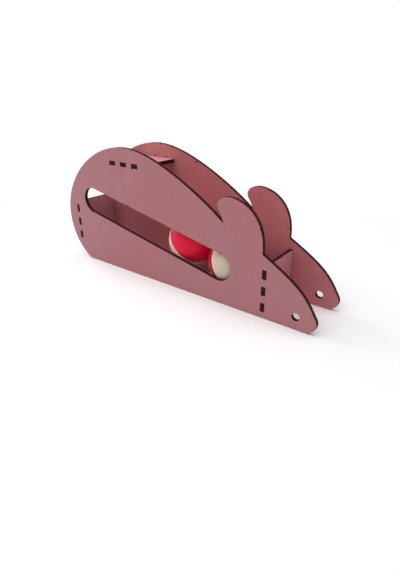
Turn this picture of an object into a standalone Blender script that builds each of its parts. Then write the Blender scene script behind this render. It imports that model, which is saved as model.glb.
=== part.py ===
"""Mouse-shaped wooden ball track toy for cats, in metres, nose at +X, standing on Z = 0.

Two identical mouse-shaped side panels are held apart by three identical tabbed cross panels.
Two hollow two-tone balls are trapped between them and roll on the edges of the sloping slots.
"""
from math import asin, cos, pi, radians, sin, sqrt, tan

import bmesh
import bpy
from mathutils import Vector

# Overall size of the side panels
BODY_LENGTH = 0.2482
BODY_HEIGHT = 0.1053
BOARD = 0.003  # thickness of every panel
KERF_GAP = 0.0001  # what the laser leaves free on each side of a tab
SEAT_GAP = 0.0002  # where a shoulder or a ball lies against a panel

# Mouse outline: how far each point lies in from the tail end or the nose tip, and its height
TAIL_CORNER_INSET = 0.0235
RUMP_HEIGHT = 0.0393
BACK_TOP_INSET = 0.0782
EAR_ROOT_INSET = 0.0746
EAR_ROOT_HEIGHT = 0.0630
EAR_BACK_INSET = 0.0801
EAR_BACK_HEIGHT = 0.0751
EAR_TOP_INSET = 0.0698
EAR_TOP_HEIGHT = 0.0820
CHEEK_INSET = 0.0425
CHEEK_HEIGHT = 0.0476
NOSE_ROUND_RADIUS = 0.0069
NOSE_BRIDGE_ANGLE = radians(-58.2)
CHIN_ANGLE = radians(36.9)
CHIN_INSET = 0.0062
NOSE_HOLE_DIAMETER = 0.0058
NOSE_HOLE_INSET = 0.0150
NOSE_HOLE_HEIGHT = 0.0097

# How far the outline swings out along its direction at each point: before it and after it,
# or as a step in length and height where the direction is neither level nor upright
TAIL_CORNER_SWING = Vector((-0.0221, 0.0110))
RUMP_SWINGS = (0.0058, 0.0340)
BACK_TOP_SWINGS = (0.0382, 0.0349)
EAR_ROOT_SWINGS = (Vector((-0.0093, 0.0085)), Vector((-0.0026, 0.0085)))
EAR_BACK_SWINGS = (0.0033, 0.0060)
EAR_TOP_SWINGS = (0.0025, 0.0085)
CHEEK_SWINGS = (Vector((0.0013, 0.0279)), Vector((0.0317, -0.0177)))
NOSE_BRIDGE_SWING = 0.0158

# Balls
BALL_DIAMETER = 0.040
BALL_BULGE = 0.0015  # how far a ball reaches into the slot on each side
SHELL_WALL = 0.0012
SEAM_LAP = 0.0015  # depth of the lip that joins the two halves
SEAM_GAP = 0.0001
LOWER_BALL_RED_POLE = Vector((-0.860, 0.317, -0.406))  # which way the red half is turned
UPPER_BALL_RED_POLE = Vector((0.695, -0.202, 0.693))

# Track slot
TRACK_WIDTH = 0.0215
TRACK_SLOPE = radians(11.74)
BALL_FLOOR_CLEARANCE = 0.0068  # under the lower ball
BALL_NOSE_CLEARANCE = 0.0168  # from the lower ball to the nose cross panel

# Cross panels and the tabs at both their ends
CROSS_LENGTH = 0.0377
TAB_COUNT = 3
TAB_LENGTH = 0.0065
TAB_END_MARGIN = 0.0031
TOP_PANEL_INSET = 0.0773  # to its middle, from the tail end
TOP_PANEL_DROP = 0.0115  # of its upper face, below the top of the back
TAIL_PANEL_INSET = 0.0115  # to its outer face, from the tail end
TAIL_PANEL_FOOT = 0.0152  # height of its lower edge
NOSE_PANEL_INSET = 0.0388  # to its outer face, from the nose tip
NOSE_PANEL_FOOT = 0.0021

# Smoothness of curved edges
OUTLINE_STEPS = 16
ARC_STEPS = 20
BALL_STEPS = 44
OUTER_ARC_STEPS = 11
INNER_ARC_STEPS = 7

# Places worked out from the sizes above
TAIL_X = -BODY_LENGTH / 2
NOSE_X = BODY_LENGTH / 2
BALL_RADIUS = BALL_DIAMETER / 2
INNER_WIDTH = BALL_DIAMETER - 2 * BALL_BULGE
SLOPE_UP = Vector((-cos(TRACK_SLOPE), sin(TRACK_SLOPE)))  # along the track, towards the tail
SLOPE_NORMAL = Vector((sin(TRACK_SLOPE), cos(TRACK_SLOPE)))
# Height of a resting ball's centre over the slot's lower edge, and how far under the slot's middle
SEAT_HEIGHT = sqrt((BALL_RADIUS + SEAT_GAP) ** 2 - (INNER_WIDTH / 2) ** 2)
SEAT_DROP = TRACK_WIDTH / 2 - SEAT_HEIGHT
TAIL_PANEL_X = TAIL_X + TAIL_PANEL_INSET + BOARD / 2
NOSE_PANEL_X = NOSE_X - NOSE_PANEL_INSET - BOARD / 2
LOWER_BALL = Vector((
    NOSE_PANEL_X - BOARD / 2 - BALL_NOSE_CLEARANCE - BALL_RADIUS,
    BALL_FLOOR_CLEARANCE + BALL_RADIUS,
))
UPPER_BALL = LOWER_BALL + SLOPE_UP * (BALL_DIAMETER + SEAT_GAP)
# The slot ends where the upper ball meets the tail cross panel
TRACK_LOW_END = LOWER_BALL + SLOPE_NORMAL * SEAT_DROP
BALL_STOP_X = TAIL_PANEL_X + BOARD / 2 + SEAT_GAP + BALL_RADIUS
BALL_TRAVEL = (UPPER_BALL.x - BALL_STOP_X) / cos(TRACK_SLOPE)
TRACK_HIGH_END = TRACK_LOW_END + SLOPE_UP * (BALL_TRAVEL + BALL_DIAMETER + SEAT_GAP)
TAB_PITCH = (CROSS_LENGTH - 2 * TAB_END_MARGIN - TAB_LENGTH) / (TAB_COUNT - 1)
# Middle of each cross panel in the side view, and whether it stands upright
CROSS_PANELS = {
    "top_cross_panel": ((TAIL_X + TOP_PANEL_INSET, BODY_HEIGHT - TOP_PANEL_DROP - BOARD / 2), False),
    "tail_cross_panel": ((TAIL_PANEL_X, TAIL_PANEL_FOOT + CROSS_LENGTH / 2), True),
    "nose_cross_panel": ((NOSE_PANEL_X, NOSE_PANEL_FOOT + CROSS_LENGTH / 2), True),
}


def clear_scene():
    for item in list(bpy.data.objects):
        bpy.data.objects.remove(item, do_unlink=True)


def make_collection(name):
    collection = bpy.data.collections.new(name)
    bpy.context.scene.collection.children.link(collection)
    return collection


def make_material(name, colour, roughness):
    material = bpy.data.materials.new(name)
    material.use_nodes = True
    shader = material.node_tree.nodes["Principled BSDF"]
    shader.inputs["Base Color"].default_value = (*colour, 1.0)
    shader.inputs["Roughness"].default_value = roughness
    shader.inputs["Metallic"].default_value = 0.0
    return material


def arc_points(centre, radius, start, turn, steps):
    """Points of an arc in the plane of a panel, from an angle and through a turn."""
    angles = [start + turn * i / steps for i in range(steps + 1)]
    return [(centre[0] + radius * cos(a), centre[1] + radius * sin(a)) for a in angles]


def tab_offsets():
    """Where the middles of a cross panel's tabs lie along its length."""
    return [(i - (TAB_COUNT - 1) / 2) * TAB_PITCH for i in range(TAB_COUNT)]


def mouse_knots():
    """The silhouette as Bezier knots: point, handle before it and handle after it."""
    level = Vector((1.0, 0.0))
    upright = Vector((0.0, 1.0))
    nose_bridge = Vector((cos(NOSE_BRIDGE_ANGLE), sin(NOSE_BRIDGE_ANGLE)))
    chin_rise = Vector((cos(CHIN_ANGLE), sin(CHIN_ANGLE)))
    nose_turn = pi - CHIN_ANGLE + NOSE_BRIDGE_ANGLE
    nose_handle = 4 / 3 * tan(nose_turn / 4) * NOSE_ROUND_RADIUS
    # The nose is an arc that touches the chin line and reaches the nose tip
    chin = Vector((NOSE_X - CHIN_INSET, 0.0))
    chin_normal = Vector((-chin_rise.y, chin_rise.x))
    nose_centre_x = NOSE_X - NOSE_ROUND_RADIUS
    along_chin = (nose_centre_x - chin.x - NOSE_ROUND_RADIUS * chin_normal.x) / chin_rise.x
    chin_end = chin + chin_rise * along_chin
    nose_centre = chin_end + chin_normal * NOSE_ROUND_RADIUS
    bridge_normal = Vector((-nose_bridge.y, nose_bridge.x))
    bridge_end = nose_centre + bridge_normal * NOSE_ROUND_RADIUS

    tail_corner = Vector((TAIL_X + TAIL_CORNER_INSET, 0.0))
    rump = Vector((TAIL_X, RUMP_HEIGHT))
    back_top = Vector((TAIL_X + BACK_TOP_INSET, BODY_HEIGHT))
    ear_root = Vector((NOSE_X - EAR_ROOT_INSET, EAR_ROOT_HEIGHT))
    ear_back = Vector((NOSE_X - EAR_BACK_INSET, EAR_BACK_HEIGHT))
    ear_top = Vector((NOSE_X - EAR_TOP_INSET, EAR_TOP_HEIGHT))
    cheek = Vector((NOSE_X - CHEEK_INSET, CHEEK_HEIGHT))
    return [
        (tail_corner, tail_corner, tail_corner + TAIL_CORNER_SWING),
        (rump, rump - upright * RUMP_SWINGS[0], rump + upright * RUMP_SWINGS[1]),
        (back_top, back_top - level * BACK_TOP_SWINGS[0], back_top + level * BACK_TOP_SWINGS[1]),
        (ear_root, ear_root + EAR_ROOT_SWINGS[0], ear_root + EAR_ROOT_SWINGS[1]),
        (ear_back, ear_back - upright * EAR_BACK_SWINGS[0], ear_back + upright * EAR_BACK_SWINGS[1]),
        (ear_top, ear_top - level * EAR_TOP_SWINGS[0], ear_top + level * EAR_TOP_SWINGS[1]),
        (cheek, cheek + CHEEK_SWINGS[0], cheek + CHEEK_SWINGS[1]),
        (bridge_end, bridge_end - nose_bridge * NOSE_BRIDGE_SWING, bridge_end + nose_bridge * nose_handle),
        (chin_end, chin_end + chin_rise * nose_handle, chin_end),
        (chin, chin, chin),
    ]


def new_flat_curve(name):
    """A filled 2D curve, as thick as the board, that outlines and holes are added to."""
    curve = bpy.data.curves.new(name, "CURVE")
    curve.dimensions = "2D"
    curve.fill_mode = "BOTH"
    curve.extrude = BOARD / 2
    return curve


def add_polygon(curve, points):
    spline = curve.splines.new("POLY")
    spline.points.add(len(points) - 1)
    for spline_point, (x, y) in zip(spline.points, points):
        spline_point.co = (x, y, 0.0, 1.0)
    spline.use_cyclic_u = True


def add_bezier(curve, knots):
    spline = curve.splines.new("BEZIER")
    spline.bezier_points.add(len(knots) - 1)
    for bezier_point, (point, before, after) in zip(spline.bezier_points, knots):
        bezier_point.co = point.to_3d()
        bezier_point.handle_left = before.to_3d()
        bezier_point.handle_right = after.to_3d()
    spline.resolution_u = OUTLINE_STEPS
    spline.use_cyclic_u = True


def slot_corners(centre, upright):
    """The four corners of one tab slot."""
    half_length = TAB_LENGTH / 2 + KERF_GAP
    half_width = BOARD / 2 + KERF_GAP
    half_x, half_z = (half_width, half_length) if upright else (half_length, half_width)
    x, z = centre
    return [
        (x - half_x, z - half_z),
        (x + half_x, z - half_z),
        (x + half_x, z + half_z),
        (x - half_x, z + half_z),
    ]


def side_panel_curve():
    curve = new_flat_curve("side_panel")
    add_bezier(curve, mouse_knots())
    low_arc = arc_points(TRACK_LOW_END, TRACK_WIDTH / 2, -TRACK_SLOPE - pi / 2, pi, ARC_STEPS)
    high_arc = arc_points(TRACK_HIGH_END, TRACK_WIDTH / 2, -TRACK_SLOPE + pi / 2, pi, ARC_STEPS)
    add_polygon(curve, low_arc + high_arc)
    nose_hole = (NOSE_X - NOSE_HOLE_INSET, NOSE_HOLE_HEIGHT)
    add_polygon(curve, arc_points(nose_hole, NOSE_HOLE_DIAMETER / 2, 0.0, 2 * pi, ARC_STEPS)[:-1])
    for (x, z), upright in CROSS_PANELS.values():
        for offset in tab_offsets():
            centre = (x, z + offset) if upright else (x + offset, z)
            add_polygon(curve, slot_corners(centre, upright))
    return curve


def cross_panel_curve():
    """A board with tabs at both ends; its length lies along X and the tabs point along Y."""
    shoulder = INNER_WIDTH / 2 - SEAT_GAP
    tab_end = INNER_WIDTH / 2 + BOARD
    half_length = CROSS_LENGTH / 2
    edge = [(-half_length, shoulder)]
    for offset in tab_offsets():
        left = offset - TAB_LENGTH / 2
        right = offset + TAB_LENGTH / 2
        edge += [(left, shoulder), (left, tab_end), (right, tab_end), (right, shoulder)]
    edge.append((half_length, shoulder))
    curve = new_flat_curve("cross_panel")
    add_polygon(curve, edge + [(-x, -y) for x, y in edge])
    return curve


def place_panel(name, curve, collection, location, rotation):
    panel = bpy.data.objects.new(name, curve)
    panel.location = location
    panel.rotation_euler = rotation
    collection.objects.link(panel)


def make_frame(collection, material):
    side_curve = side_panel_curve()
    side_curve.materials.append(material)
    side_y = (INNER_WIDTH + BOARD) / 2
    for name, y in (("right_side_panel", -side_y), ("left_side_panel", side_y)):
        place_panel(name, side_curve, collection, (0.0, y, 0.0), (pi / 2, 0.0, 0.0))
    cross_curve = cross_panel_curve()
    cross_curve.materials.append(material)
    for name, ((x, z), upright) in CROSS_PANELS.items():
        turn = pi / 2 if upright else 0.0
        place_panel(name, cross_curve, collection, (x, 0.0, z), (0.0, turn, 0.0))


def half_shell_mesh(name, lip_side, step_height):
    """Half a hollow ball with its pole up, as the profile that is turned round its own Z axis.

    The wall is split in two at the seam. lip_side is -1 for the half whose inner layer passes
    the seam as a lip, and 1 for the half whose inner layer stops short to take that lip in.
    """
    inner_radius = BALL_RADIUS - SHELL_WALL
    rim_start = asin(SEAM_GAP / BALL_RADIUS)
    step_start = asin(step_height / inner_radius)
    step_radius = BALL_RADIUS - SHELL_WALL / 2 + lip_side * SEAM_GAP / 2
    outer_turn = rim_start - pi / 2
    inner_turn = pi / 2 - step_start
    outer = arc_points((0.0, 0.0), BALL_RADIUS, pi / 2, outer_turn, OUTER_ARC_STEPS)
    inner = arc_points((0.0, 0.0), inner_radius, step_start, inner_turn, INNER_ARC_STEPS)
    step = [(step_radius, SEAM_GAP), (step_radius, step_height)]
    profile = bmesh.new()
    verts = [profile.verts.new((x, 0.0, z)) for x, z in outer + step + inner]
    for first, second in zip(verts, verts[1:]):
        profile.edges.new((first, second))
    mesh = bpy.data.meshes.new(name)
    profile.to_mesh(mesh)
    profile.free()
    return mesh


def turn_profile(shell):
    screw = shell.modifiers.new("turn", "SCREW")
    screw.axis = "Z"
    screw.angle = 2 * pi
    screw.steps = BALL_STEPS
    screw.render_steps = BALL_STEPS
    screw.use_merge_vertices = True
    screw.merge_threshold = 0.00001
    screw.use_smooth_shade = True


def make_balls(collection, red, cream):
    red_mesh = half_shell_mesh("ball_red_half", -1, -SEAM_LAP)
    red_mesh.materials.append(red)
    cream_mesh = half_shell_mesh("ball_cream_half", 1, SEAM_LAP + SEAM_GAP)
    cream_mesh.materials.append(cream)
    balls = (
        ("lower_ball", LOWER_BALL, LOWER_BALL_RED_POLE),
        ("upper_ball", UPPER_BALL, UPPER_BALL_RED_POLE),
    )
    for name, (x, z), red_pole in balls:
        carrier = bpy.data.objects.new(name + "_carrier", None)
        carrier.location = (x, 0.0, z)
        collection.objects.link(carrier)
        halves = (("_red_half", red_mesh, red_pole), ("_cream_half", cream_mesh, -red_pole))
        for ending, mesh, pole in halves:
            shell = bpy.data.objects.new(name + ending, mesh)
            shell.parent = carrier
            shell.rotation_euler = pole.to_track_quat("Z", "Y").to_euler()
            collection.objects.link(shell)
            turn_profile(shell)


def main():
    clear_scene()
    collection = make_collection("cat_ball_track_toy")
    rose_board = make_material("rose_painted_board", (0.38, 0.17, 0.18), 0.75)
    red_plastic = make_material("red_plastic", (0.68, 0.02, 0.06), 0.35)
    cream_plastic = make_material("cream_plastic", (0.72, 0.68, 0.50), 0.35)
    make_frame(collection, rose_board)
    make_balls(collection, red_plastic, cream_plastic)


main()
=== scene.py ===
"""Looks of the mouse-shaped wooden ball track toy: laser-cut boards and two-tone plastic balls.

Each board starts as its solid model's shape, and gets eased corners and a scorched rim round
every cut. Each ball half is a turned shell with a rounded rim, and a lip or a rebate at the seam.
"""
from math import radians, sqrt

import bmesh
import bpy
from mathutils import Matrix, Vector


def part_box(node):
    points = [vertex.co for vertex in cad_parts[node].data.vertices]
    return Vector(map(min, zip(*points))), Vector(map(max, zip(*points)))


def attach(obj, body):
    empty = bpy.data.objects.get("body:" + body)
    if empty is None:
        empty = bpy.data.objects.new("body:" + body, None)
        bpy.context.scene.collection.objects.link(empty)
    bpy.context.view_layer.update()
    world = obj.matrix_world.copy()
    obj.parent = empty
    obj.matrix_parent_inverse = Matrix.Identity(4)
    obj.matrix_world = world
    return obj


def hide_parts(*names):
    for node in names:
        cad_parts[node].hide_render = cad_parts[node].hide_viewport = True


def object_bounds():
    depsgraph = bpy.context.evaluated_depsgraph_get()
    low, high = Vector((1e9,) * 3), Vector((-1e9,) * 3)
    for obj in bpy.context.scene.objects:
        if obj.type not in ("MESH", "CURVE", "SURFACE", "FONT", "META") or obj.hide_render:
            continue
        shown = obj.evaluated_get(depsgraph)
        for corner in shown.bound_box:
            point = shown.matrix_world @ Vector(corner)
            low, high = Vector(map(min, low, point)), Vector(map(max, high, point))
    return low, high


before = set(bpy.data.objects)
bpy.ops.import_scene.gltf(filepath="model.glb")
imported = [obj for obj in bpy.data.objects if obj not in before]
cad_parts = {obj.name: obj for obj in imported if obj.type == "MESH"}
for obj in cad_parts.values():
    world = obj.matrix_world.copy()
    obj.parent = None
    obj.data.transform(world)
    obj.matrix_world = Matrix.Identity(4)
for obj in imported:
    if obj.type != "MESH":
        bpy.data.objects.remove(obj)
cad_low, cad_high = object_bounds()

# Boards, with lengths in metres
CORNER_EASE = 0.00014  # the rounding that the paint and the laser leave between a face and a cut
ROUNDING_SHARE = 0.293  # of a rounding's radius: how far in its middle lies from the sharp corner
SCORCH_WIDTH = 0.0008  # how far the heat of the cut shows on a painted face
MERGE_DISTANCE = 0.000001
FACING = 0.999  # a face that looks this straight along the board's axis is painted
MITRE_LIMIT = 2.5  # a corner of a cut moves in at most this many times as far as its walls
OUTSIDE, INSIDE, CUT = 0, 1, 2  # a board's finishes, in the order of its material slots

# Spots on the paint: how wide they are, how much of their colour shows, and the colour
BURN_RADIUS, BURN_SHARE, BURN_TINT = 0.0011, 0.92, "#351216"
STAIN_RADIUS, STAIN_SHARE = 0.0026, 0.35
# Painted bounce light: a wide, soft, paler patch standing in for light bounced from another board
BOUNCE_LIGHT_RADIUS, BOUNCE_LIGHT_SHARE, BOUNCE_LIGHT_TINT = 0.026, 0.55, "#CB8681"
RAGGED = 0.0002  # how far the edge of a spot wanders in and out
# Their X and Z in mm. Burns are where the laser started or paused
OUTSIDE_BURNS = ((-44.9, 59.9), (48.1, 40.3), (-91.5, 46.6), (79.2, 64.6), (-37.3, 90.3))
INSIDE_BURNS = (
    (-43.1, 104.8), (-30.3, 103.4), (-49.3, 94.5), (-37.3, 94.4), (-5.1, 93.4), (62.8, 80.6), (81.5, 55.0),
    (-109.2, 38.0), (-108.9, 25.0),
)
OUTSIDE_STAINS = ((-35.5, 85.8),)
INSIDE_STAINS = ((2.6, 68.2),)
INSIDE_PAINTED_BOUNCE_LIGHTS = ((-46.0, 103.0),)  # painted light: paler above the top cross board, where light bounces up off its top

# Paint: rose, the mauve it drifts to, its warm blotches, and the line bleached by the laser's heat
OUTSIDE_PAINT = ("#A86D71", "#A7747C", "#AB6C6C", "#B28E8E")
# The inside and cross-board colours are lighter copies of the outside paint: painted light, the inside's
# for light bouncing between the boards, the cross boards' for stronger light from above and from the nose
# side
INSIDE_PAINT_WITH_PAINTED_LIGHT = ("#BD6E72", "#AD6B74", "#C36C66", "#B68685")
CROSS_PAINT_WITH_PAINTED_LIGHT = ("#BD7980", "#B97984", "#C17679", "#BF9595")
SCORCH_TINT = "#4A2A2C"  # of the painted face right beside a cut
MAUVE_TAIL_FROM, MAUVE_TAIL_TO = -0.03, -0.11  # where along the toy the colour turns mauve, as X
MAUVE_NOSE_FROM, MAUVE_NOSE_TO = 0.075, 0.115
# Char, line of the laser's pulses, thin char and soot: the cross boards' are a little more mauve
SIDE_CHAR = ("#26090D", "#43181A", "#54292A", "#190608")
CROSS_CHAR = ("#250A11", "#411A20", "#522C32", "#18070B")

# Balls, in metres
BALL_RADIUS = 0.020
SHELL_WALL = 0.0012
RIM_GAP = 0.00004  # from the seam plane to each half's rim
RIM_EASE = 0.00010  # the rounding of the rim's outer corner
RIM_STEP = 0.0002  # the red half is this much smaller in radius at its rim, so the cream rim stands proud
LIP_DEPTH = 0.0015  # how far the red half's lip reaches into the cream half
LIP_GAP = 0.0001  # between the lip and the cream half, at its side and its end
RIM_TOP = RIM_GAP * 1.5  # what lies lower than this above the seam plane is the rim
BALL_SEGMENTS, BALL_RINGS = 96, 48
# Plastic: its colour, and the colour where the pigment is cloudy
RED_PLASTIC = ("#E2093C", "#D60736")
CREAM_PLASTIC = ("#CDBEA8", "#C3BBA0")
RED_GLOSS, CREAM_GLOSS = 0.22, 0.35
# Where the halves lap: the colour and how much of it shows. The lower ball's red is much darker there:
# painted shade from the upper ball that touches it
RED_LAPS_AND_PAINTED_SHADE = {"lower_ball": ("#72232C", 0.90), "upper_ball": ("#A00A28", 0.40)}
# The cream's lap: the pink of the red lip showing through, made lighter than the cream body, in part a
# painted highlight on its proud rim
CREAM_LAP_AND_PAINTED_HIGHLIGHT = ("#FFB6B2", 1.0)
LAP_TINT_FULL = 0.00132  # up to this far from the seam the lap's colour shows in full
LAP_TINT_END = 0.00396
# Which way the middle of each red half looks
RED_POLES = {
    "lower_ball": Vector((-0.860, 0.317, -0.406)).normalized(),
    "upper_ball": Vector((0.695, -0.202, 0.693)).normalized(),
}

# Each board's solid model, and the axis along which its painted faces look
BOARDS = {
    "right_side_board": ("right_side_panel", "Y"),
    "left_side_board": ("left_side_panel", "Y"),
    "top_cross_board": ("top_cross_panel", "Z"),
    "tail_cross_board": ("tail_cross_panel", "X"),
    "nose_cross_board": ("nose_cross_panel", "X"),
}
AXES = {"X": Vector((1, 0, 0)), "Y": Vector((0, 1, 0)), "Z": Vector((0, 0, 1))}

# Stage, in metres and watts
ROOM_LIGHT = 0.49
LIT_POINT = Vector((0.0, 0.0, 0.05))  # what the softboxes are turned to
# Each softbox's name, place, width and power
SOFTBOXES = (
    ("overhead_softbox", (0.05, 0.05, 1.10), 0.9, 4.7),
    ("front_softbox", (0.05, -0.75, 1.00), 0.5, 1.95),
    ("front_tail_softbox", (-0.60, -0.55, 1.05), 0.5, 2.8),
    ("tail_side_softbox", (-1.05, 0.00, 0.55), 0.6, 6.0),
)
FLOOR_SIZE = 8
PAPER_WHITE = "#F4F4F4"
PLAIN_FROM = 0.16  # from here to PLAIN_TO, measured from the middle of the toy, the floor turns plain white
PLAIN_TO = 0.34

# Camera, solved from the photograph: lens in mm, framing in the photograph's pixels, place in metres
CAMERA_LENS = 25.53
CAMERA_SHIFT = (-9.6, -12.45)
PHOTO_HEIGHT = 570
CAMERA_PLACE = (0.1996, -0.2423, 0.1485)
CAMERA_RIGHT = Vector((0.80573, 0.59225, 0.00608))
CAMERA_DOWN = Vector((0.25199, -0.33348, -0.90846))
CAMERA_FORWARD = Vector((-0.53601, 0.73350, -0.41794))


# Colours and nodes

def rgb(code):
    """An sRGB hex colour as the linear values that Blender's sockets take."""
    channels = [int(code[i:i + 2], 16) / 255 for i in (1, 3, 5)]
    linear = [c / 12.92 if c <= 0.04045 else ((c + 0.055) / 1.055) ** 2.4 for c in channels]
    return (*linear, 1.0)


def per_metre(size_mm):
    """The scale of a noise whose blotches are about size_mm wide on an object in metres."""
    return 1000 / size_mm


def add_node(tree, kind, inputs, output=0, **settings):
    """Adds a shader node, sets or links its inputs, and gives back the output asked for."""
    node = tree.nodes.new("ShaderNode" + kind)
    for name, value in settings.items():
        setattr(node, name, value)
    for name, value in inputs.items():
        if isinstance(value, bpy.types.NodeSocket):
            tree.links.new(value, node.inputs[name])
        else:
            node.inputs[name].default_value = value
    return node.outputs[output] if node.outputs else None


def new_material(name):
    """An empty material and its node tree."""
    material = bpy.data.materials.new(name)
    material.use_nodes = True
    material.node_tree.nodes.clear()
    return material, material.node_tree


# Materials

def rose_painted_mdf(name, rose, mauve, warm, bleached, burns=(), stains=(), painted_bounce_lights=()):
    """Matte water-based paint rolled on 3 mm MDF.

    It gives a dull, even skin with a fine fibre and roller stipple, a tone that drifts slowly
    and turns mauve at the tail and the nose, and a narrow bleached line where the laser's heat
    reached the paint. Each burn is the X and Z, in mm, of a dot where the laser started or paused,
    each stain that of a warm spot a few millimetres wide, and each painted bounce light that of a
    wide, soft, paler patch: painted light where light bounces onto the board.
    """
    material, tree = new_material(name)
    place = add_node(tree, "TexCoord", {}, "Object")
    along = add_node(tree, "SeparateXYZ", {0: place}, "X")
    drift = add_node(tree, "TexNoise", {"Vector": place, "Scale": per_metre(55), "Detail": 1.0})
    blotch = add_node(tree, "TexNoise", {"Vector": place, "Scale": per_metre(9), "Detail": 4.0})
    stipple = add_node(tree, "TexNoise", {"Vector": place, "Scale": per_metre(0.9), "Detail": 3.0})
    # Real fibres are about 0.1 mm thick, drawn at 0.5 mm so that they show
    drawn_out = add_node(tree, "Mapping", {"Vector": place, "Scale": (0.25, 1.0, 1.0)})
    fibre = add_node(tree, "TexNoise", {"Vector": drawn_out, "Scale": per_metre(0.5), "Detail": 2.0})

    tail_share = add_node(tree, "MapRange", {
        "Value": along, "From Min": MAUVE_TAIL_FROM, "From Max": MAUVE_TAIL_TO,
    })
    nose_share = add_node(tree, "MapRange", {
        "Value": along, "From Min": MAUVE_NOSE_FROM, "From Max": MAUVE_NOSE_TO, "To Max": 0.6,
    })
    ends_share = add_node(tree, "Math", {0: tail_share, 1: nose_share}, operation="ADD")
    drift_share = add_node(tree, "MapRange", {
        "Value": drift, "From Min": 0.35, "From Max": 0.65, "To Max": 0.5,
    })
    mauve_share = add_node(tree, "Math", {0: ends_share, 1: drift_share}, operation="MAXIMUM")
    warm_share = add_node(tree, "MapRange", {
        "Value": blotch, "From Min": 0.5, "From Max": 0.8, "To Max": 0.4,
    })
    colour = add_node(tree, "Mix", {0: mauve_share, 6: rgb(rose), 7: rgb(mauve)}, 2, data_type="RGBA")
    colour = add_node(tree, "Mix", {0: warm_share, 6: colour, 7: rgb(warm)}, 2, data_type="RGBA")
    rough_skin = add_node(tree, "Math", {0: stipple, 1: fibre}, operation="ADD")
    shade = add_node(tree, "MapRange", {
        "Value": rough_skin, "From Min": 0.75, "From Max": 1.25, "To Min": 0.935, "To Max": 1.065,
    })
    colour = add_node(tree, "VectorMath", {0: colour, "Scale": shade}, operation="SCALE")

    heat = add_node(tree, "Attribute", {}, "Fac", attribute_name="heat")
    bleach_share = add_node(tree, "MapRange", {
        "Value": heat, "From Min": 0.15, "From Max": 0.9, "To Max": 0.5,
    })
    scorch_share = add_node(tree, "MapRange", {
        "Value": heat, "From Min": 0.9, "From Max": 1.0, "To Max": 0.65,
    })
    colour = add_node(tree, "Mix", {0: bleach_share, 6: colour, 7: rgb(bleached)}, 2, data_type="RGBA")
    colour = add_node(tree, "Mix", {0: scorch_share, 6: colour, 7: rgb(SCORCH_TINT)}, 2, data_type="RGBA")

    side_place = add_node(tree, "VectorMath", {0: place, 1: (1.0, 0.0, 1.0)}, operation="MULTIPLY")
    ragged = add_node(tree, "MapRange", {
        "Value": stipple, "From Min": 0.3, "From Max": 0.7, "To Min": -RAGGED, "To Max": RAGGED,
    })
    # Painted bounce light first, then stains, then burns
    for spots, radius, strength, tint in (
        (painted_bounce_lights, BOUNCE_LIGHT_RADIUS, BOUNCE_LIGHT_SHARE, BOUNCE_LIGHT_TINT),
        (stains, STAIN_RADIUS, STAIN_SHARE, warm),
        (burns, BURN_RADIUS, BURN_SHARE, BURN_TINT),
    ):
        if not spots:
            continue
        nearest = 1.0
        for x, z in spots:
            spot = (x / 1000, 0.0, z / 1000)
            away = add_node(tree, "VectorMath", {0: side_place, 1: spot}, "Value", operation="DISTANCE")
            nearest = add_node(tree, "Math", {0: nearest, 1: away}, operation="MINIMUM")
        nearest = add_node(tree, "Math", {0: nearest, 1: ragged}, operation="ADD")
        share = add_node(tree, "MapRange", {
            "Value": nearest, "From Min": radius, "From Max": radius / 2, "To Max": strength,
        })
        colour = add_node(tree, "Mix", {0: share, 6: colour, 7: rgb(tint)}, 2, data_type="RGBA")

    low_fibre = add_node(tree, "Math", {0: fibre, 1: 0.6, 2: stipple}, operation="MULTIPLY_ADD")
    relief = add_node(tree, "Bump", {"Height": low_fibre, "Distance": 0.00005, "Strength": 0.5})
    gloss = add_node(tree, "MapRange", {
        "Value": blotch, "From Min": 0.3, "From Max": 0.7, "To Min": 0.70, "To Max": 0.82,
    })
    shader = add_node(tree, "BsdfPrincipled", {
        "Base Color": colour, "Roughness": gloss, "Normal": relief, "Specular IOR Level": 0.35,
    })
    add_node(tree, "OutputMaterial", {"Surface": shader})
    return material


def laser_burnt_edge(name, through, char, line, thin, soot):
    """The cut wall of laser-cut MDF, charred brown-black.

    It gives a dull soot skin with fine lines straight through the board, one for each pulse
    of the laser, and paler brown fibre where the char is thin.
    """
    material, tree = new_material(name)
    place = add_node(tree, "TexCoord", {}, "Object")
    # Real pulse lines are about 0.1 mm apart, drawn at 0.35 mm so that they show
    stretch = tuple(0.04 if axis == through else 1.0 for axis in "XYZ")
    drawn_out = add_node(tree, "Mapping", {"Vector": place, "Scale": stretch})
    lines = add_node(tree, "TexNoise", {"Vector": drawn_out, "Scale": per_metre(0.35), "Detail": 2.0})
    patches = add_node(tree, "TexNoise", {"Vector": place, "Scale": per_metre(6), "Detail": 2.0})
    specks = add_node(tree, "TexNoise", {"Vector": place, "Scale": per_metre(1.2), "Detail": 3.0})
    line_share = add_node(tree, "MapRange", {"Value": lines, "From Min": 0.35, "From Max": 0.70})
    thin_share = add_node(tree, "MapRange", {
        "Value": patches, "From Min": 0.50, "From Max": 0.75, "To Max": 0.35,
    })
    soot_share = add_node(tree, "MapRange", {
        "Value": specks, "From Min": 0.45, "From Max": 0.75, "To Max": 0.5,
    })
    colour = add_node(tree, "Mix", {0: line_share, 6: rgb(char), 7: rgb(line)}, 2, data_type="RGBA")
    colour = add_node(tree, "Mix", {0: thin_share, 6: colour, 7: rgb(thin)}, 2, data_type="RGBA")
    colour = add_node(tree, "Mix", {0: soot_share, 6: colour, 7: rgb(soot)}, 2, data_type="RGBA")
    relief = add_node(tree, "Bump", {"Height": lines, "Distance": 0.00008, "Strength": 0.6})
    dullness = add_node(tree, "MapRange", {
        "Value": specks, "From Min": 0.3, "From Max": 0.7, "To Min": 0.80, "To Max": 0.95,
    })
    shader = add_node(tree, "BsdfPrincipled", {
        "Base Color": colour, "Roughness": dullness, "Normal": relief, "Specular IOR Level": 0.10,
    })
    add_node(tree, "OutputMaterial", {"Surface": shader})
    return material


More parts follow.
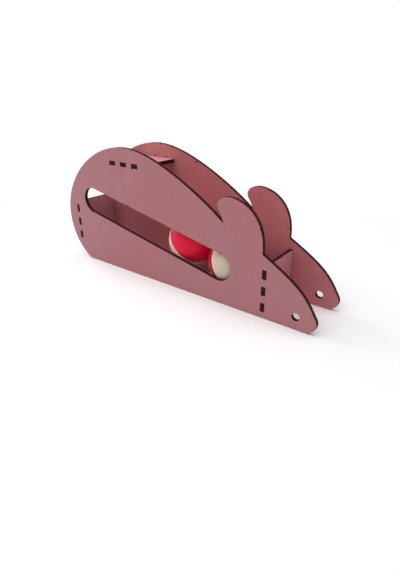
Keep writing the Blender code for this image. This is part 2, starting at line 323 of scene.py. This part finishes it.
def moulded_plastic(name, body, clouded, lap_tint_and_painted_light, lap_and_painted_light_share, gloss, centre, pole):
    """Injection-moulded polypropylene, half a hollow ball.

    It gives an even satin gloss with faint scuffs and a slow cloudiness of the pigment. Where
    the halves lap, near the seam, the red is duller, and darker still as painted shade where it
    lies in another ball's shadow, and the cream takes the pink of the red lip showing through it,
    lighter than the cream body: in part a painted highlight on the cream's proud rim.
    """
    material, tree = new_material(name)
    place = add_node(tree, "TexCoord", {}, "Object")
    cloud = add_node(tree, "TexNoise", {"Vector": place, "Scale": per_metre(11), "Detail": 2.0})
    # Spark-eroded mould texture is about 0.05 mm fine, drawn at 0.4 mm so that it shows
    texture = add_node(tree, "TexNoise", {"Vector": place, "Scale": per_metre(0.4), "Detail": 2.0})
    drawn_out = add_node(tree, "Mapping", {"Vector": place, "Scale": (0.15, 1.0, 0.6)})
    scuff = add_node(tree, "TexNoise", {"Vector": drawn_out, "Scale": per_metre(1.6), "Detail": 4.0})
    cloud_share = add_node(tree, "MapRange", {"Value": cloud, "From Min": 0.35, "From Max": 0.65})
    colour = add_node(tree, "Mix", {0: cloud_share, 6: rgb(body), 7: rgb(clouded)}, 2, data_type="RGBA")
    from_centre = add_node(tree, "VectorMath", {0: place, 1: centre}, operation="SUBTRACT")
    above_seam = add_node(tree, "VectorMath", {0: from_centre, 1: pole}, "Value", operation="DOT_PRODUCT")
    # Near the seam the lap colour takes over, with the painted shade and painted highlight set in its tint
    lap = add_node(tree, "MapRange", {
        "Value": above_seam, "From Min": LAP_TINT_END, "From Max": LAP_TINT_FULL, "To Max": lap_and_painted_light_share,
    })
    colour = add_node(tree, "Mix", {0: lap, 6: colour, 7: rgb(lap_tint_and_painted_light)}, 2, data_type="RGBA")
    wear = add_node(tree, "MapRange", {
        "Value": scuff, "From Min": 0.60, "From Max": 0.72, "To Max": 0.15,
    })
    satin = add_node(tree, "MapRange", {
        "Value": cloud, "From Min": 0.3, "From Max": 0.7, "To Min": 0.34, "To Max": 0.42,
    })
    roughness = add_node(tree, "Math", {0: satin, 1: wear}, operation="ADD")
    relief = add_node(tree, "Bump", {"Height": texture, "Distance": 0.00001, "Strength": 0.35})
    shader = add_node(tree, "BsdfPrincipled", {
        "Base Color": colour, "Roughness": roughness, "Normal": relief,
        "IOR": 1.49, "Specular IOR Level": gloss,
        "Subsurface Weight": 0.3, "Subsurface Radius": (1.0, 0.35, 0.35), "Subsurface Scale": 0.0025,
    })
    add_node(tree, "OutputMaterial", {"Surface": shader})
    return material


# Modelling

def only(piece):
    """piece becomes the one selected and active object."""
    bpy.ops.object.select_all(action="DESELECT")
    piece.select_set(True)
    bpy.context.view_layer.objects.active = piece


def select_faces(piece, wanted):
    """In edit mode, selects the faces for which wanted is true, and nothing else."""
    bpy.ops.mesh.select_all(action="DESELECT")
    mesh = bmesh.from_edit_mesh(piece.data)
    for face in mesh.faces:
        face.select = wanted(face)
    mesh.select_flush_mode()
    bmesh.update_edit_mesh(piece.data)


def select_edges(piece, wanted):
    """In edit mode, selects the edges for which wanted is true, and nothing else."""
    bpy.ops.mesh.select_all(action="DESELECT")
    mesh = bmesh.from_edit_mesh(piece.data)
    for edge in mesh.edges:
        if wanted(edge):
            edge.select_set(True)
    bmesh.update_edit_mesh(piece.data)


def inward_mitre(vertex):
    """How far and which way a corner of a cut moves for each metre that its two walls move in."""
    walls = {face for edge in vertex.link_edges if edge.is_boundary for face in edge.link_faces}
    first, second = [wall.normal for wall in walls][:2]
    mitre = -(first + second) / (1.0 + first.dot(second))
    return mitre if mitre.length < MITRE_LIMIT else mitre.normalized() * MITRE_LIMIT


def model_board(name, node, axis, finishes):
    """The solid model's board with eased corners, and a narrow rim set off round every cut.

    Its painted faces come off, each cut wall grows round the corner and in along the face in
    steps, and what is left open is filled flat.
    """
    board = bpy.data.objects.new(name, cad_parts[node].data.copy())
    bpy.context.scene.collection.objects.link(board)
    board.data.materials.clear()
    for finish in finishes:
        board.data.materials.append(finish)
    only(board)
    bpy.ops.mesh.customdata_custom_splitnormals_clear()
    bpy.ops.object.mode_set(mode="EDIT")
    bpy.ops.mesh.select_mode(type="FACE")
    bpy.ops.mesh.select_all(action="SELECT")
    bpy.ops.mesh.remove_doubles(threshold=MERGE_DISTANCE)
    bpy.ops.mesh.dissolve_limited(angle_limit=radians(0.1))
    select_faces(board, lambda face: abs(face.normal.dot(AXES[axis])) > FACING)
    bpy.ops.mesh.delete(type="FACE")
    mesh = bmesh.from_edit_mesh(board.data)
    mesh.normal_update()
    heat = mesh.verts.layers.float.new("heat")
    depth = AXES[axis]
    middle = sum((v.co.dot(depth) for v in mesh.verts)) / len(mesh.verts)
    wall_edges = [edge for edge in mesh.edges if edge.is_boundary]
    rim = {}
    for vertex in (v for edge in wall_edges for v in edge.verts):
        side = 1 if vertex.co.dot(depth) > middle else -1
        rim[vertex] = (vertex.co.copy(), inward_mitre(vertex), side)
    for vertex, (point, mitre, side) in rim.items():
        vertex.co = point - depth * side * CORNER_EASE
    for face in mesh.faces:
        face.material_index = CUT
    for vertex in mesh.verts:
        vertex[heat] = 1.0
    # How far in and how far down each new ring lies, in roundings, and how hot the cut left it
    steps = (
        (ROUNDING_SHARE, ROUNDING_SHARE, 1.0),
        (1.0, 0.0, 1.0),
        (1.0 + SCORCH_WIDTH / CORNER_EASE, 0.0, 0.0),
    )
    current = {vertex: vertex for vertex in rim}
    for inset, drop, hot in steps:
        following = {}
        for vertex, (point, mitre, side) in rim.items():
            moved = mesh.verts.new(point + mitre * CORNER_EASE * inset - depth * side * CORNER_EASE * drop)
            moved[heat] = hot
            following[vertex] = moved
        for edge in wall_edges:
            first, second = edge.verts
            face = mesh.faces.new((current[first], current[second], following[second], following[first]))
            face.material_index = CUT if hot else OUTSIDE
        current = following
    for side in (1, -1):
        loops = [
            mesh.edges.get([current[vertex] for vertex in edge.verts])
            for edge in wall_edges if rim[edge.verts[0]][2] == side
        ]
        filled = bmesh.ops.triangle_fill(mesh, edges=loops, use_beauty=True, normal=depth * side)
        for item in filled["geom"]:
            if isinstance(item, bmesh.types.BMFace):
                item.material_index = OUTSIDE
    bmesh.ops.recalc_face_normals(mesh, faces=mesh.faces)
    bmesh.update_edit_mesh(board.data)
    bpy.ops.object.mode_set(mode="OBJECT")
    bpy.ops.object.shade_smooth_by_angle(angle=radians(40))
    return board


def sort_painted_faces(board, axis):
    """Painted faces lie flat, and those that look into the toy take the inside finish."""
    middle = (cad_low + cad_high) / 2
    for polygon in board.data.polygons:
        if polygon.material_index != CUT:
            facing = polygon.normal.dot(AXES[axis])
            outward = facing * (polygon.center - middle).dot(AXES[axis]) > 0
            polygon.material_index = OUTSIDE if outward else INSIDE
            polygon.use_smooth = False


def move_rim_ring(half, radius, new_radius, height):
    """In edit mode, gives one ring of a half ball's rim another radius and another height.

    The rings lie a third of the wall apart, so a twelfth tells them apart.
    """
    def on_ring(edge):
        return all(v.co.z < RIM_TOP and abs(v.co.xy.length - radius) < SHELL_WALL / 12 for v in edge.verts)

    select_edges(half, on_ring)
    widening = new_radius / radius
    bpy.ops.transform.resize(value=(widening, widening, 0.0), center_override=(0.0, 0.0, 0.0))
    bpy.ops.transform.translate(value=(0.0, 0.0, height))


def model_half_ball(name, centre, pole, rim_radius, step_radius, step_height):
    """Half a hollow ball with a rounded rim, its pole turned to pole.

    The wall is split in two layers at the seam, at step_radius. The inner one passes the seam
    as a lip where step_height is below 0, and stops short of it, to take that lip, where it is
    above.
    """
    bpy.ops.object.select_all(action="DESELECT")
    bpy.ops.mesh.primitive_uv_sphere_add(segments=BALL_SEGMENTS, ring_count=BALL_RINGS, radius=BALL_RADIUS)
    half = bpy.context.object
    half.name = half.data.name = name
    bpy.ops.object.mode_set(mode="EDIT")
    bpy.ops.mesh.select_mode(type="EDGE")
    bpy.ops.mesh.select_all(action="SELECT")
    bpy.ops.mesh.bisect(plane_co=(0, 0, RIM_GAP), plane_no=(0, 0, 1), clear_inner=True)
    narrow = rim_radius / BALL_RADIUS
    bpy.ops.mesh.select_all(action="SELECT")
    bpy.ops.transform.resize(value=(narrow, narrow, 1.0))
    bpy.ops.object.mode_set(mode="OBJECT")
    wall = half.modifiers.new("wall", "SOLIDIFY")
    wall.thickness = SHELL_WALL
    wall.offset = -1
    bpy.ops.object.modifier_apply(modifier="wall")
    bpy.ops.object.mode_set(mode="EDIT")
    inner_radius = rim_radius - SHELL_WALL

    def on_rim(edge):
        return max(v.co.z for v in edge.verts) < RIM_TOP

    def across_rim(edge):
        first, second = (v.co.xy.length for v in edge.verts)
        return on_rim(edge) and abs(first - second) > SHELL_WALL / 2

    def in_rebate(edge):
        return all(RIM_GAP < v.co.z < step_height and v.co.xy.length < step_radius for v in edge.verts)

    def outer_rim(edge):
        return on_rim(edge) and min(v.co.xy.length for v in edge.verts) > rim_radius - SHELL_WALL / 4

    select_edges(half, across_rim)
    bpy.ops.mesh.subdivide(number_cuts=2)
    select_edges(half, in_rebate)
    bpy.ops.mesh.dissolve_edges()
    # The rim now has four rings, from the inner wall outwards: all but the last make the step
    move_rim_ring(half, inner_radius, sqrt(inner_radius ** 2 - step_height ** 2), step_height)
    move_rim_ring(half, rim_radius - SHELL_WALL * 2 / 3, step_radius, step_height)
    move_rim_ring(half, rim_radius - SHELL_WALL / 3, step_radius, RIM_GAP)
    select_edges(half, outer_rim)
    bpy.ops.mesh.bevel(offset=RIM_EASE, segments=2, affect="EDGES")
    bpy.ops.object.mode_set(mode="OBJECT")
    bpy.ops.object.shade_smooth_by_angle(angle=radians(50))
    half.matrix_world = Matrix.Translation(centre) @ pole.to_track_quat("Z", "Y").to_matrix().to_4x4()
    bpy.ops.object.transform_apply(location=True, rotation=True, scale=True)
    return half


# The pieces

def make_boards():
    """Two side boards, with the inside faces in a lighter, redder copy of the outside paint, and three
    cross boards in another lighter copy: both copies are painted light.
    """
    outside = rose_painted_mdf("matte_rose_paint", *OUTSIDE_PAINT, OUTSIDE_BURNS, OUTSIDE_STAINS)
    # The inside and cross-board finishes are lighter copies of the outside paint: painted light
    inside = rose_painted_mdf(
        "matte_rose_paint_inside_painted_light", *INSIDE_PAINT_WITH_PAINTED_LIGHT, INSIDE_BURNS, INSIDE_STAINS, INSIDE_PAINTED_BOUNCE_LIGHTS)
    crossing_with_painted_light = rose_painted_mdf("matte_rose_paint_cross_boards_painted_light", *CROSS_PAINT_WITH_PAINTED_LIGHT)
    for name, (node, axis) in BOARDS.items():
        is_side = axis == "Y"
        burnt = laser_burnt_edge("laser_burnt_edge_" + node, axis, *(SIDE_CHAR if is_side else CROSS_CHAR))
        finishes = (outside, inside, burnt) if is_side else (crossing_with_painted_light, crossing_with_painted_light, burnt)
        board = model_board(name, node, axis, finishes)
        sort_painted_faces(board, axis)
        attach(board, "frame")
        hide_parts(node)


def make_balls():
    """Two balls, each of a red and a cream half that meet at the seam."""
    for ball, red_pole in RED_POLES.items():
        boxes = [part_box(ball + ending) for ending in ("_red_half", "_cream_half")]
        low = Vector(map(min, boxes[0][0], boxes[1][0]))
        high = Vector(map(max, boxes[0][1], boxes[1][1]))
        centre = (low + high) / 2
        # The red's lap colour carries painted shade on the lower ball, the cream's a painted highlight
        red = moulded_plastic(
            "red_plastic_" + ball, *RED_PLASTIC, *RED_LAPS_AND_PAINTED_SHADE[ball], RED_GLOSS, centre, red_pole)
        cream = moulded_plastic(
            "cream_plastic_" + ball, *CREAM_PLASTIC, *CREAM_LAP_AND_PAINTED_HIGHLIGHT, CREAM_GLOSS, centre, -red_pole)
        half_wall = BALL_RADIUS - SHELL_WALL / 2
        for colour, pole, material, rim_radius, step_radius, step_height in (
            ("red", red_pole, red, BALL_RADIUS - RIM_STEP, half_wall - LIP_GAP / 2, -LIP_DEPTH),
            ("cream", -red_pole, cream, BALL_RADIUS, half_wall + LIP_GAP / 2, LIP_DEPTH + LIP_GAP),
        ):
            half = model_half_ball(
                f"{ball}_{colour}_shell", centre, pole, rim_radius, step_radius, step_height)
            half.data.materials.append(material)
            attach(half, ball)
            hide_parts(f"{ball}_{colour}_half")


# Stage

def seen_share(tree):
    """1 for a ray from the camera, a reflection or glass, and 0 for a ray that lights the toy."""
    by_camera = add_node(tree, "LightPath", {}, "Is Camera Ray")
    by_gloss = add_node(tree, "LightPath", {}, "Is Glossy Ray")
    by_glass = add_node(tree, "LightPath", {}, "Is Transmission Ray")
    seen = add_node(tree, "Math", {0: by_camera, 1: by_gloss}, operation="MAXIMUM")
    return add_node(tree, "Math", {0: seen, 1: by_glass}, operation="MAXIMUM")


def make_floor():
    """White paper: it keeps the object's soft shadow and turns to plain white further out."""
    bpy.ops.object.select_all(action="DESELECT")
    bpy.ops.mesh.primitive_plane_add(size=FLOOR_SIZE)
    floor = bpy.context.object
    floor.name = "studio_floor"
    material, tree = new_material("white_studio_paper")
    place = add_node(tree, "TexCoord", {}, "Object")
    from_middle = add_node(tree, "VectorMath", {0: place}, "Value", operation="LENGTH")
    far = add_node(tree, "MapRange", {"Value": from_middle, "From Min": PLAIN_FROM, "From Max": PLAIN_TO})
    plain = add_node(tree, "Math", {0: far, 1: seen_share(tree)}, operation="MULTIPLY")
    paper = add_node(tree, "BsdfPrincipled", {
        "Base Color": rgb(PAPER_WHITE), "Roughness": 0.9, "Specular IOR Level": 0.1,
    })
    white = add_node(tree, "Emission", {"Color": (1, 1, 1, 1), "Strength": 1.0})
    surface = add_node(tree, "MixShader", {0: plain, 1: paper, 2: white})
    add_node(tree, "OutputMaterial", {"Surface": surface})
    floor.data.materials.append(material)


def make_world():
    """An even white room: plain white to look at, and dimmer as a light."""
    world = bpy.data.worlds.new("white_studio")
    world.use_nodes = True
    tree = world.node_tree
    tree.nodes.clear()
    strength = add_node(tree, "MapRange", {"Value": seen_share(tree), "To Min": ROOM_LIGHT, "To Max": 1.0})
    room = add_node(tree, "Background", {"Color": (1, 1, 1, 1), "Strength": strength})
    add_node(tree, "OutputWorld", {"Surface": room})
    bpy.context.scene.world = world


def make_lights():
    """Square softboxes, all turned to the toy."""
    for name, place, size, watts in SOFTBOXES:
        lamp = bpy.data.lights.new(name, "AREA")
        lamp.shape = "SQUARE"
        lamp.size = size
        lamp.energy = watts
        softbox = bpy.data.objects.new(name, lamp)
        softbox.location = place
        softbox.rotation_euler = (LIT_POINT - Vector(place)).to_track_quat("-Z", "Y").to_euler()
        bpy.context.scene.collection.objects.link(softbox)


def make_camera():
    """The photograph's viewing angle: its place, the way it looks, and its off-centre framing."""
    camera = bpy.data.cameras.new("photo_camera")
    camera.lens = CAMERA_LENS
    camera.shift_x, camera.shift_y = (offset / PHOTO_HEIGHT for offset in CAMERA_SHIFT)
    camera.clip_start = 0.01
    eye = bpy.data.objects.new("photo_camera", camera)
    turned = Matrix((CAMERA_RIGHT, -CAMERA_DOWN, -CAMERA_FORWARD)).transposed().to_4x4()
    eye.matrix_world = Matrix.Translation(CAMERA_PLACE) @ turned
    bpy.context.scene.collection.objects.link(eye)
    bpy.context.scene.camera = eye


make_camera()
make_boards()
make_balls()
make_floor()
make_world()
make_lights()
bpy.context.scene.view_settings.view_transform = "Standard"
